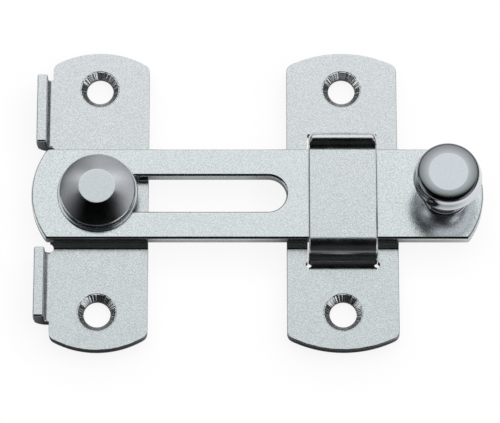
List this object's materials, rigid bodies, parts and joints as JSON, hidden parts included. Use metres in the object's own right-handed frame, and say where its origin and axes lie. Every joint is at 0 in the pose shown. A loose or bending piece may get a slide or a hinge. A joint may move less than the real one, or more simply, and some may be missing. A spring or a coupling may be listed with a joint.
{
  "type": "bar latch",
  "caption": "Surface bar latch: a flat slotted bar turns and slides on a headed stud, drops behind an open tongue on the keeper plate, and is pulled by a turned knob.",
  "frame": {"origin": "middle of the base plate's two screw holes on the mounting plane, which is also where the stud's axis meets it", "axes": "+X along the closed bar towards its knob, +Y to the side on which the tongue is open and to which the bar swings, +Z away from the mounting surface towards the user"},
  "size_m": [0.085, 0.0594, 0.0176],
  "materials": {
    "plate_steel": "pressed stainless sheet, tumbled to a soft mottled satin",
    "bar_steel": "flat stainless bar, tumbled to a soft mottled satin",
    "stud_steel": "turned stainless, with fine rings on the flat of the cap",
    "knob_steel": "turned stainless, polished rim and a satin face",
    "spring_steel": "plain spring steel"
  },
  "bodies": {
    "mounting": {"base_plate": "plate_steel", "guide_stud": "stud_steel", "keeper_plate": "plate_steel"},
    "swivel": {"spring_washer": "spring_steel"},
    "bar": {"slide_bar": "bar_steel", "pull_knob": "knob_steel"}
  },
  "joints": [
    {"name": "bar_swing", "type": "hinge", "parent": "mounting", "child": "swivel", "pos_m": [0, 0, 0.006], "axis": [0, 0, 1], "range_deg": [0, 91]},
    {"name": "bar_slide", "type": "slide", "parent": "swivel", "child": "bar", "axis": [1, 0, 0], "range_m": [-0.008, 0]}
  ]
}
